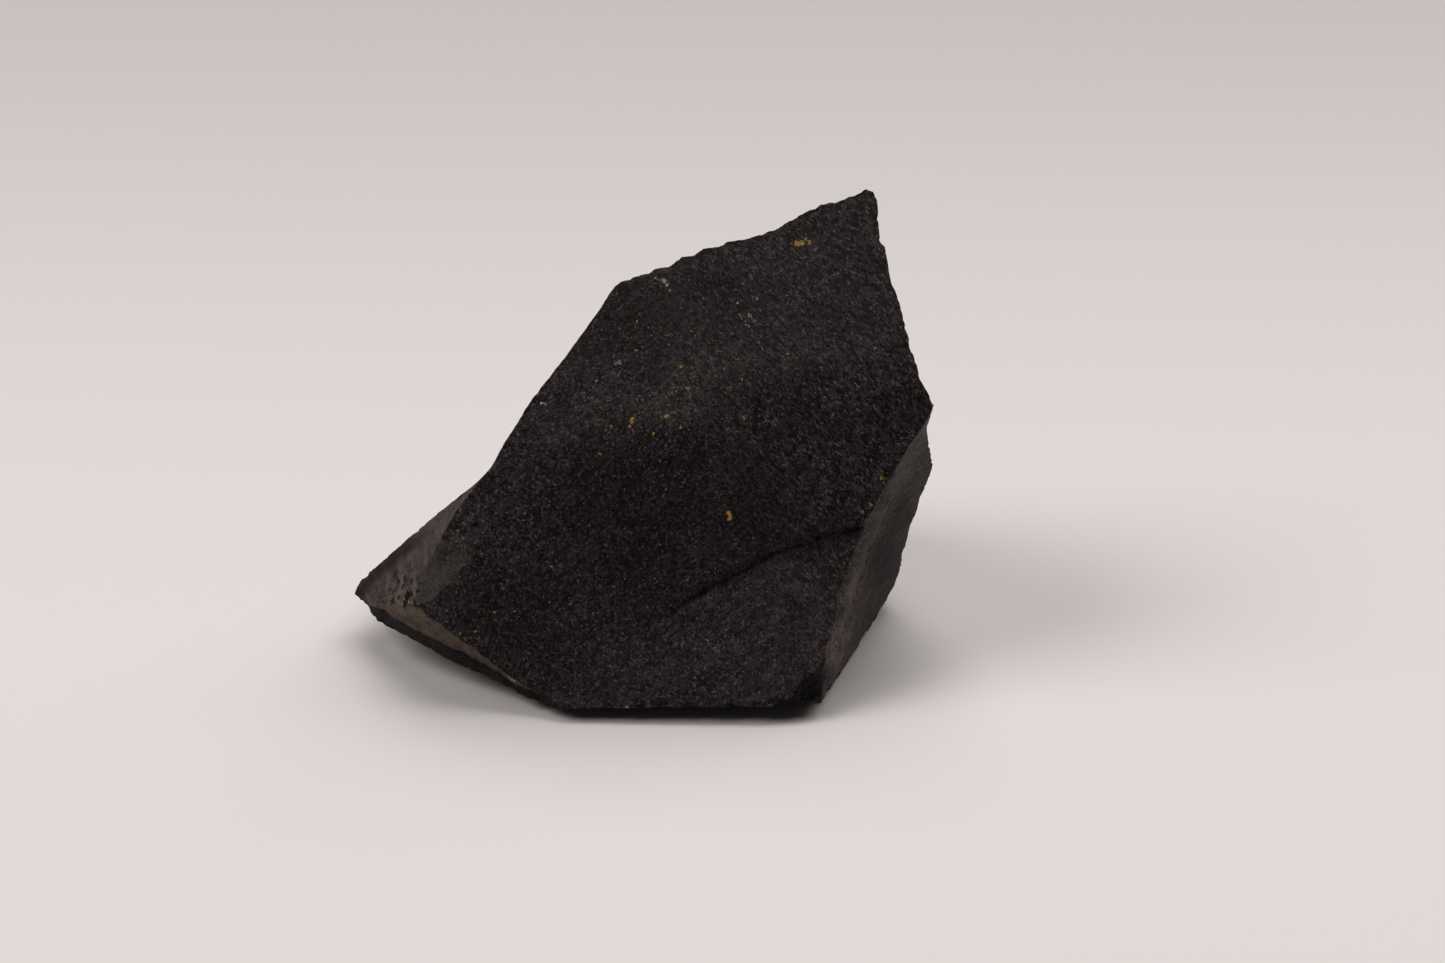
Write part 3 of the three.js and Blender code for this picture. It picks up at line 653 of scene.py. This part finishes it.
def new_group(name, inputs, outputs):
    """An empty shader node group with these sockets. Returns it with its input and its output node."""
    group = bpy.data.node_groups.new(name, "ShaderNodeTree")
    for label, kind, value in inputs:
        socket = group.interface.new_socket(label, in_out="INPUT", socket_type=kind)
        if value is not None:
            socket.default_value = value
    for label, kind in outputs:
        group.interface.new_socket(label, in_out="OUTPUT", socket_type=kind)
    return group, group.nodes.new("NodeGroupInput"), group.nodes.new("NodeGroupOutput")


def use_group(tree, group, inputs):
    """Places a group in a tree with its own values. Returns the node."""
    node = add_node(tree, "ShaderNodeGroup", node_tree=group)
    fill_inputs(tree, node, inputs)
    return node


# %% [markdown]
# ## Grain
#
# Close up the stone is not one black. Its broken surface is a mat of tiny tilted grains: most are nearly
# black, some are dark grey, and here and there one is turned so that it shines, and that shine is painted into
# the colour as a painted glint. The grains are drawn out a little in one direction, as if the surface had been
# combed. One group makes the height of that surface, the shade of its grains and the painted glints.
#
# The grains come from noise, stretched along the combing. Two sizes are added for the height. The painted
# glints lie on short threads: places where another noise passes through its middle value, kept only where a
# last, broader noise is high.

# %% The grain group
COMB_SLOPE = math.radians(50)  # the grain runs down to the right at this angle across the split face
BROAD, THREADS, THREAD_PLACES = 0.33, 0.9, 0.7  # how many of each there are for one fine grain

along_grain = ACROSS * math.cos(COMB_SLOPE) - UP_SLOPE * math.sin(COMB_SLOPE)
across_grain = along_grain.cross(INTO_STONE)
GRAIN_TURN = Matrix((across_grain, along_grain, INTO_STONE)).to_euler()  # lays a pattern's Y along the grain

grain, inside, outside = new_group(
    "combed grain",
    [
        ("Vector", "NodeSocketVector", None),
        ("Grains per Metre", "NodeSocketFloat", 3300.0),
        ("Drawn Out", "NodeSocketVector", (1.25, 0.6, 1.25)),
    ],
    [("Height", "NodeSocketFloat"), ("Shade", "NodeSocketFloat"), ("Painted Glints", "NodeSocketFloat")],
)
per_metre = inside.outputs["Grains per Metre"]
turned = add_node(grain, "ShaderNodeMapping", {"Vector": inside.outputs["Vector"], "Rotation": GRAIN_TURN})
combed_place = vector_maths(grain, "MULTIPLY", turned.outputs["Vector"], inside.outputs["Drawn Out"])
fine = noise_node(grain, combed_place, per_metre, 2.0, 0.6)
broad = noise_node(grain, combed_place, maths(grain, "MULTIPLY", per_metre, BROAD), 1.0)
threads = noise_node(grain, combed_place, maths(grain, "MULTIPLY", per_metre, THREADS), 1.0)
thread_places = noise_node(grain, combed_place, maths(grain, "MULTIPLY", per_metre, THREAD_PLACES), 0.0)
from_middle = maths(grain, "ABSOLUTE", maths(grain, "SUBTRACT", threads, 0.5))
on_thread = eased(grain, from_middle, 0.06, 0.01)
# the painted glints lie on these threads, which also rise a little in the height
glint_thread = maths(grain, "MULTIPLY", on_thread, eased(grain, thread_places, 0.54, 0.64))
height = maths(grain, "MULTIPLY_ADD", broad, 0.8, maths(grain, "MULTIPLY_ADD", glint_thread, 0.25, fine))
shade = maths(grain, "MULTIPLY_ADD", broad, 0.3, maths(grain, "MULTIPLY", fine, 0.7))
grain.links.new(height, outside.inputs["Height"])
grain.links.new(shade, outside.inputs["Shade"])
grain.links.new(glint_thread, outside.inputs["Painted Glints"])
print("combed grain:", len(grain.nodes), "nodes")

# %% [markdown]
# ## Flecks and dust
#
# Rust has stained a few grains ochre, and where the stone was knocked a fleck is pinkish white. They are few,
# and each one is seen, so they are placed one by one: so far across and up the split face, with a radius.
# Their outlines are ragged because the place that they are measured from is shifted about by noise first.
#
# Pale dust is different: hundreds of specks, thickest above the middle of the split face. For that, the cells
# of a Voronoi texture each draw a random number, and a cell shows a speck where its number is less than the
# local amount of dust.

# %% The fleck and dust groups
fleck, inside, outside = new_group(
    "fleck",
    [
        ("Vector", "NodeSocketVector", None),
        ("Centre", "NodeSocketVector", None),
        ("Radius", "NodeSocketFloat", 0.0),
    ],
    [("Mask", "NodeSocketFloat")],
)
away = distance_between(fleck, inside.outputs["Vector"], inside.outputs["Centre"])
radius = inside.outputs["Radius"]
fleck.links.new(eased(fleck, away, radius, maths(fleck, "MULTIPLY", radius, 0.6)), outside.inputs["Mask"])

dust, inside, outside = new_group(
    "dust",
    [
        ("Vector", "NodeSocketVector", None),
        ("Specks per Metre", "NodeSocketFloat", 3000.0),
        ("Amount", "NodeSocketFloat", 0.1),
    ],
    [("Mask", "NodeSocketFloat")],
)
cell_inputs = {"Vector": inside.outputs["Vector"], "Scale": inside.outputs["Specks per Metre"]}
cells = add_node(dust, "ShaderNodeTexVoronoi", cell_inputs)
draw = add_node(dust, "ShaderNodeSeparateColor", {"Color": cells.outputs["Color"]})
kept = maths(dust, "LESS_THAN", draw.outputs["Red"], inside.outputs["Amount"])
speck_size = maths(dust, "MULTIPLY_ADD", draw.outputs["Green"], 0.25, 0.15)
speck = eased(dust, cells.outputs["Distance"], speck_size, maths(dust, "MULTIPLY", speck_size, 0.5))
dust.links.new(maths(dust, "MULTIPLY", kept, speck), outside.inputs["Mask"])
print("fleck:", len(fleck.nodes), "nodes, dust:", len(dust.nodes), "nodes")

# %% [markdown]
# ## Where the flecks are
#
# A fleck is given by its place on the flat of the split face, but it must lie on the skin. A ray from the
# camera through that place finds the point of the skin. If the ray misses, at the very edge of the stone, the
# nearest point of the skin is taken. The scratches high on the split face are short rows of small pale
# flecks, and the crumbs are straw-coloured ones among the pits.

# %% Where the flecks are
skin_tree = BVHTree.FromPolygons(points.tolist(), triangles.tolist())


def on_skin(across, up):
    """The place on the skin that the camera sees at this place on the split face, or the nearest to it."""
    place = on_split(across, up)
    sight = place - camera.location
    hit = skin_tree.ray_cast(camera.location, sight.normalized())[0]
    return hit or skin_tree.find_nearest(place)[0]


# across and up the split face and radius, in mm
OCHRE_FLECKS = [
    (8.6, 53.1, 0.40), (9.1, 53.3, 0.36), (9.5, 53.7, 0.30), (9.9, 53.3, 0.24), (7.7, 54.4, 0.17),
    (0.7, 22.3, 0.42), (0.8, 21.9, 0.36), (-10.3, 33.1, 0.30), (-10.4, 32.8, 0.27), (-10.7, 32.4, 0.22),
    (-4.8, 32.2, 0.24), (-7.8, 31.5, 0.17), (2.5, 33.1, 0.20), (-9.9, 41.0, 0.20), (-9.8, 44.3, 0.22),
    (-3.9, 36.6, 0.24), (-6.3, 33.4, 0.24), (18.2, 26.4, 0.20), (18.5, 26.0, 0.15), (18.6, 25.6, 0.12),
    (16.9, 23.4, 0.18), (17.4, 23.6, 0.15), (18.0, 23.9, 0.12), (16.0, 22.4, 0.17), (14.2, 17.1, 0.18),
    (13.8, 16.7, 0.15), (-30.0, 8.8, 0.17), (-28.1, 8.9, 0.17), (-26.0, 11.1, 0.17), (-23.7, 11.2, 0.18),
    (-4.7, 39.2, 0.15), (-3.6, 43.0, 0.13), (-14.0, 29.1, 0.18),
]
PALE_FLECKS = [
    (-6.7, 48.8, 0.32), (-6.3, 48.3, 0.18), (-6.0, 47.7, 0.15), (1.8, 46.4, 0.20), (0.9, 46.1, 0.17),
    (3.7, 44.2, 0.16), (3.9, 46.9, 0.18), (-0.6, 47.3, 0.16), (-20.6, 34.8, 0.18), (-20.3, 34.7, 0.16),
    (-13.1, 33.3, 0.15), (-14.8, 27.6, 0.14), (2.2, 37.6, 0.17),
    (-11.9, 39.6, 0.24), (-11.7, 39.3, 0.22), (-12.2, 39.3, 0.18), (-14.3, 37.5, 0.28), (-13.6, 37.8, 0.22),
    (-12.6, 32.1, 0.18), (7.5, 40.5, 0.22), (4.2, 41.8, 0.20), (5.4, 46.4, 0.18), (-24.1, 3.4, 0.36),
    (-19.6, 16.2, 0.22), (-10.9, 0.3, 0.24), (13.0, 13.0, 0.18), (-24.4, 3.7, 0.28), (-23.8, 3.2, 0.24),
]
SCRATCHES = [  # from and to, across and up
    ((2.0, 45.0), (3.0, 43.6)), ((2.8, 45.4), (3.6, 44.4)), ((-7.6, 49.2), (-6.8, 48.7)),
]
SCRATCH_RADIUS = 0.13
SCRATCH_FLECKS = 7  # each scratch is a row of this many small flecks
for (from_across, from_up), (to_across, to_up) in SCRATCHES:
    for number in range(SCRATCH_FLECKS):
        share = number / (SCRATCH_FLECKS - 1)
        across = from_across + share * (to_across - from_across)
        PALE_FLECKS.append((across, from_up + share * (to_up - from_up), SCRATCH_RADIUS))
CRUMBS = [
    (-36.9, 12.3, 0.22), (-36.3, 12.6, 0.16), (-35.9, 12.1, 0.20), (-37.4, 12.5, 0.14), (-36.6, 11.9, 0.18),
    (-38.4, 12.2, 0.18), (-41.0, 12.0, 0.20), (-40.4, 11.9, 0.14), (-35.6, 13.2, 0.14), (-37.8, 13.4, 0.14),
    (-39.3, 12.0, 0.16), (-34.9, 12.2, 0.18), (-37.1, 13.1, 0.12),
]


def fleck_mask(tree, vector, flecks):
    """One mask of all these flecks."""
    mask = 0.0
    for across, up, radius in flecks:
        inputs = {"Vector": vector, "Centre": on_skin(across, up), "Radius": radius * MM}
        mask = maths(tree, "MAXIMUM", mask, use_group(tree, fleck, inputs).outputs["Mask"])
    return mask


print(len(OCHRE_FLECKS), "ochre,", len(PALE_FLECKS), "pale and", len(CRUMBS), "straw-coloured flecks")

# %% [markdown]
# ## The jasper material
#
# The colour is built up in layers, most of them as on the real stone and some of them painted light and shade,
# and each cell below adds some of them. The ground comes first: nearly black, with a faint violet-brown cast
# that drifts over a centimetre or so, then the dark grey grains and the painted glints. On the right the grain
# is combed, and on the left it lies loose, so two copies of the grain group are blended by the value that the
# skin stores for it.

# %% Ground and grain
BLACK = (0.0045, 0.0032, 0.0036, 1.0)
GREY = (0.040, 0.0293, 0.0310, 1.0)
COOL_GREY = (0.033, 0.0275, 0.0308, 1.0)
# the colour of the painted glints, where a grain catches the light
GLINT_PAINT = (0.13, 0.115, 0.114, 1.0)
CAST_PER_METRE = 130.0
LOOSE_GRAIN = (1.0, 0.9, 1.0)  # hardly drawn out at all

jasper = bpy.data.materials.new("jasper")
jasper.use_nodes = True
tree = jasper.node_tree
surface = tree.nodes["Principled BSDF"]
where = add_node(tree, "ShaderNodeTexCoord").outputs["Object"]
combed_grain = use_group(tree, grain, {"Vector": where})
loose_grain = use_group(tree, grain, {"Vector": where, "Drawn Out": LOOSE_GRAIN})
towards_combed = attribute(tree, "combed")


def grain_value(name):
    """This output of the grain: loose on the left, combed on the right."""
    inputs = {0: towards_combed, 2: loose_grain.outputs[name], 3: combed_grain.outputs[name]}
    return add_node(tree, "ShaderNodeMix", inputs).outputs[0]


grain_shade = grain_value("Shade")
cast = eased(tree, noise_node(tree, where, CAST_PER_METRE, 2.0), 0.4, 0.6)
grey = blended(tree, cast, GREY, COOL_GREY)
colour = blended(tree, eased(tree, grain_shade, 0.41, 0.61), BLACK, grey)
# painted glints laid over the grain
colour = blended(tree, grain_value("Painted Glints"), colour, GLINT_PAINT)
print("ground and grain:", len(tree.nodes), "nodes")

# %% [markdown]
# ## Clean faces, bevel and strip
#
# Where the stone broke clean its colour is a warmer dark grey with soft streaks, because the crack ran
# through in one direction and left faint ribs. The bevel has an olive tint, and the strip is stained with
# earth. Each is laid over the grain as far as the skin's stored values say.

# %% Clean faces, bevel and strip
CLEAN = (0.021, 0.0146, 0.0136, 1.0)
CLEAN_PALE = (0.061, 0.0495, 0.0435, 1.0)
OLIVE = (0.047, 0.0405, 0.0362, 1.0)
EARTH = (0.075, 0.055, 0.040, 1.0)
MOST_CLEAN = 0.8  # the smoothest faces are this much clean colour, and the rest is grain
STREAK_SLOPE = math.radians(55)  # the streaks on the flanks run up to the right at this angle
STREAKS_PER_METRE = 1100.0
STREAK_SQUEEZE = (1.0, 0.12, 1.0)  # squeezed along the streaks, which draws them out
STREAK_SHARE = 0.65  # of the clean faces' pattern, and the rest is fine grain

along_streaks = ACROSS * math.cos(STREAK_SLOPE) + UP_SLOPE * math.sin(STREAK_SLOPE)
STREAK_TURN = Matrix((along_streaks.cross(INTO_STONE), along_streaks, INTO_STONE)).to_euler()

smooth = attribute(tree, "smooth")
streaked_place = turned_place(tree, where, STREAK_TURN, STREAK_SQUEEZE)
streaks = eased(tree, noise_node(tree, streaked_place, STREAKS_PER_METRE, 3.0, 0.6), 0.40, 0.60)
fine_grain = eased(tree, grain_shade, 0.38, 0.64)
fine_share = maths(tree, "MULTIPLY", fine_grain, 1.0 - STREAK_SHARE)
clean = blended(tree, maths(tree, "MULTIPLY_ADD", streaks, STREAK_SHARE, fine_share), CLEAN, CLEAN_PALE)
colour = blended(tree, maths(tree, "MULTIPLY", smooth, MOST_CLEAN), colour, clean)
olive = maths(tree, "MULTIPLY", attribute(tree, "olive"), eased(tree, grain_shade, 0.30, 0.55))
colour = blended(tree, olive, colour, OLIVE)
earthy = maths(tree, "MULTIPLY", attribute(tree, "earthy"), maths(tree, "MULTIPLY_ADD", streaks, 0.6, 0.4))
colour = blended(tree, earthy, colour, EARTH)
print("with clean faces, bevel and strip:", len(tree.nodes), "nodes")

# %% [markdown]
# ## Painted light from above, and sweeps
#
# Whatever faces upwards is painted lighter in a warm grey tint, as painted light from above, and the normal of
# the surface tells where that is. Over all of it go the painted light and shade that the skin stores, and
# broad faint sweeps along the grain, a few millimetres apart, as a crack leaves them when it hurries and
# slows.

# %% Painted light from above, and sweeps
# painted light from above: its tint, and the most of it that faces looking upwards get
UPWARD_LIGHT_TINT = (0.075, 0.062, 0.060, 1.0)
MOST_UPWARD_LIGHT = 0.12
SWEEPS_PER_METRE = 420.0
SWEEP_SQUEEZE = (1.0, 0.25, 1.0)
SWEEP_LEAST = 0.94  # the least lightness that a sweep gives
SWEEP_MORE = 0.30  # and how much more it may give

facing = add_node(tree, "ShaderNodeNewGeometry").outputs["Normal"]
upwards = add_node(tree, "ShaderNodeSeparateXYZ", {"Vector": facing}).outputs["Z"]
painted_top_light = maths(tree, "MULTIPLY", eased(tree, upwards, 0.42, 0.66), MOST_UPWARD_LIGHT)
colour = blended(tree, painted_top_light, colour, UPWARD_LIGHT_TINT)

swept_place = turned_place(tree, where, GRAIN_TURN, SWEEP_SQUEEZE)
sweeps = eased(tree, noise_node(tree, swept_place, SWEEPS_PER_METRE, 2.0), 0.35, 0.65)
# the painted light and shade stored with the skin, times each zone's lightness and the sweeps
tone = maths(tree, "MULTIPLY", attribute(tree, "painted_light_and_shade"), attribute(tree, "zone_lightness"))
tone = maths(tree, "MULTIPLY", tone, maths(tree, "MULTIPLY_ADD", sweeps, SWEEP_MORE, SWEEP_LEAST))
scaled = add_node(tree, "ShaderNodeVectorMath", {0: colour, "Scale": tone}, operation="SCALE")
colour = scaled.outputs["Vector"]
# the node count after the painted light from above and the sweeps
print("with painted top light and sweeps:", len(tree.nodes), "nodes")

# %% [markdown]
# ## Specks, flecks and crumbs
#
# The pale specks and the flecks come last, on top of everything. Specks are thickest around one place above
# the ridge and among the pits. Neither rust nor a bruise has one flat colour, so noise blends two for each.

# %% Specks, flecks and crumbs
DUST_SPECK = (0.175, 0.155, 0.128, 1.0)
OCHRE = (0.42, 0.24, 0.045, 1.0)
TAN = (0.24, 0.16, 0.080, 1.0)
PALE = (0.30, 0.235, 0.215, 1.0)
WHITE = (0.46, 0.39, 0.35, 1.0)
STRAW = (0.27, 0.22, 0.15, 1.0)
DUSTY = (-6.5, 36.5)  # across and up, the middle of the dusty place
DUST_REACH = (14, 3)  # mm, where the dust begins and where it is thickest
MOST_DUST = 0.30
DUST_EVERYWHERE = 0.02
CRUMB_REACH = (3, 1)  # mm, the same for the specks among the pits
MOST_CRUMBS = 0.35
BLEND_PER_METRE = 900.0
RAGGED_PER_METRE = 2200.0
RAGGED_REACH = 1.0  # mm, how far the noise shifts a fleck's outline

dust_start, dust_full = (reach * MM for reach in DUST_REACH)
crumb_start, crumb_full = (reach * MM for reach in CRUMB_REACH)
from_dusty = distance_between(tree, where, on_skin(*DUSTY))
from_pits = distance_between(tree, where, on_skin(*PITTED[:2]))
crumbs = maths(tree, "MULTIPLY", eased(tree, from_pits, crumb_start, crumb_full), MOST_CRUMBS)
dustiness = eased(tree, from_dusty, dust_start, dust_full)
dust_amount = maths(tree, "MULTIPLY_ADD", dustiness, MOST_DUST, DUST_EVERYWHERE)
dust_amount = maths(tree, "ADD", dust_amount, crumbs)
dust_mask = use_group(tree, dust, {"Vector": where, "Amount": dust_amount}).outputs["Mask"]
colour = blended(tree, dust_mask, colour, DUST_SPECK)

shift_inputs = {"Vector": where, "Scale": RAGGED_PER_METRE, "Detail": 2.0}
shift = add_node(tree, "ShaderNodeTexNoise", shift_inputs).outputs["Color"]
ragged = vector_maths(tree, "SUBTRACT", shift, (0.5, 0.5, 0.5))
ragged = vector_maths(tree, "MULTIPLY_ADD", ragged, (RAGGED_REACH * MM,) * 3, where)
knocked = blended(tree, eased(tree, noise_node(tree, where, BLEND_PER_METRE, 1.0), 0.52, 0.60), PALE, WHITE)
colour = blended(tree, fleck_mask(tree, ragged, PALE_FLECKS), colour, knocked)
rust = blended(tree, eased(tree, noise_node(tree, where, BLEND_PER_METRE, 1.0), 0.50, 0.70), OCHRE, TAN)
colour = blended(tree, fleck_mask(tree, ragged, OCHRE_FLECKS), colour, rust)
colour = blended(tree, fleck_mask(tree, ragged, CRUMBS), colour, STRAW)
tree.links.new(colour, surface.inputs["Base Color"])
print("with specks and flecks:", len(tree.nodes), "nodes")

# %% [markdown]
# ## Shine and relief
#
# Jasper that was never polished has almost no highlights, but its faces turn grey when they are seen at a
# slant. A high roughness with a weak reflection gives both. The grain's own height goes into the normal,
# where it breaks up the light as the tilted grains do. It is weaker on the clean faces.

# %% Shine and relief
ROUGHNESS = 0.62
REFLECTION = 0.09
GRAIN_RELIEF = 0.26  # mm
CLEAN_RELIEF_LOSS = 0.7  # how much of the relief the smoothest face lacks

surface.inputs["Roughness"].default_value = ROUGHNESS
surface.inputs["Specular IOR Level"].default_value = REFLECTION
kept_relief = maths(tree, "MULTIPLY_ADD", smooth, -CLEAN_RELIEF_LOSS, 1.0)
relief = maths(tree, "MULTIPLY", grain_value("Height"), kept_relief)
bump = add_node(tree, "ShaderNodeBump", {"Height": relief, "Distance": GRAIN_RELIEF * MM, "Strength": 1.0})
tree.links.new(bump.outputs["Normal"], surface.inputs["Normal"])
skin_mesh.materials.append(jasper)
print("jasper:", len(tree.nodes), "nodes in all")

# %% [markdown]
# ## Floor
#
# The stone stands on a plain pale floor. Its colour is painted a little darker towards the back, a painted
# shade like that of a lit table falling off into a dim room.

# %% Floor
FLOOR_HALF = 8.0  # m
# near and far colours of the floor: the darker far colour is painted shade
FLOOR_NEAR = (0.665, 0.65, 0.64, 1.0)
FLOOR_FAR = (0.455, 0.445, 0.445, 1.0)
FADE_START = -0.02  # m behind the stone's middle
FADE_END = 0.26

floor_mesh = bpy.data.meshes.new("floor")
corners = [(-1, -1, 0), (1, -1, 0), (1, 1, 0), (-1, 1, 0)]
floor_mesh.from_pydata([(x * FLOOR_HALF, y * FLOOR_HALF, z) for x, y, z in corners], [], [(0, 1, 2, 3)])
floor = bpy.data.objects.new("floor", floor_mesh)
scene.collection.objects.link(floor)

floor_paint = bpy.data.materials.new("floor_paint")
floor_paint.use_nodes = True
floor_tree = floor_paint.node_tree
floor_surface = floor_tree.nodes["Principled BSDF"]
floor_place = add_node(floor_tree, "ShaderNodeTexCoord").outputs["Object"]
back = add_node(floor_tree, "ShaderNodeSeparateXYZ", {"Vector": floor_place}).outputs["Y"]
floor_colour = blended(floor_tree, eased(floor_tree, back, FADE_START, FADE_END), FLOOR_NEAR, FLOOR_FAR)
floor_tree.links.new(floor_colour, floor_surface.inputs["Base Color"])
floor_surface.inputs["Roughness"].default_value = 0.9
floor_surface.inputs["Specular IOR Level"].default_value = 0.1
floor_mesh.materials.append(floor_paint)
print("floor:", 2 * FLOOR_HALF, "m wide")

# %% [markdown]
# ## Light
#
# Three large soft lamps stand around the stone: one on the left, a weaker one to the right and a little
# behind, and one overhead and behind. Hardly any light comes from the camera's side, so the faces that look
# at the camera stay nearly black, and those that are tilted away from it show a soft sheen. The surround is
# pale to look at, but gives next to no light.

# %% Light
WARM_WHITE = (1.0, 0.94, 0.92)
LAMP_DISTANCE = 3.0  # m, from the stone
SURROUND_LIGHT = 0.03
SURROUND_SEEN = 0.45  # how much brighter it is where the camera looks straight at it


def add_lamp(name, toward, size, watts):
    """A square soft lamp, this many metres wide, that shines at the stone from this direction."""
    data = bpy.data.lights.new(name, "AREA")
    data.shape = "SQUARE"
    data.size = size
    data.energy = watts
    data.color = WARM_WHITE
    lamp = bpy.data.objects.new(name, data)
    direction = Vector(toward).normalized()
    lamp.location = direction * LAMP_DISTANCE
    lamp.rotation_euler = (-direction).to_track_quat("-Z", "Y").to_euler()
    scene.collection.objects.link(lamp)


add_lamp("left", (-0.70, -0.04, 0.71), 1.7, 53.0)
add_lamp("right", (0.58, 0.40, 0.71), 1.8, 36.0)
add_lamp("overhead", (0.05, 0.46, 0.89), 2.1, 56.5)

surround = bpy.data.worlds.new("surround")
surround.use_nodes = True
surround_tree = surround.node_tree
background = surround_tree.nodes["Background"]
background.inputs["Color"].default_value = (1.0, 1.0, 1.0, 1.0)
looked_at = add_node(surround_tree, "ShaderNodeLightPath").outputs["Is Camera Ray"]
strength = maths(surround_tree, "MULTIPLY_ADD", looked_at, SURROUND_SEEN, SURROUND_LIGHT)
surround_tree.links.new(strength, background.inputs["Strength"])
scene.world = surround
scene.view_settings.view_transform = "Standard"
print("lamps:", [lamp.name for lamp in bpy.data.lights])
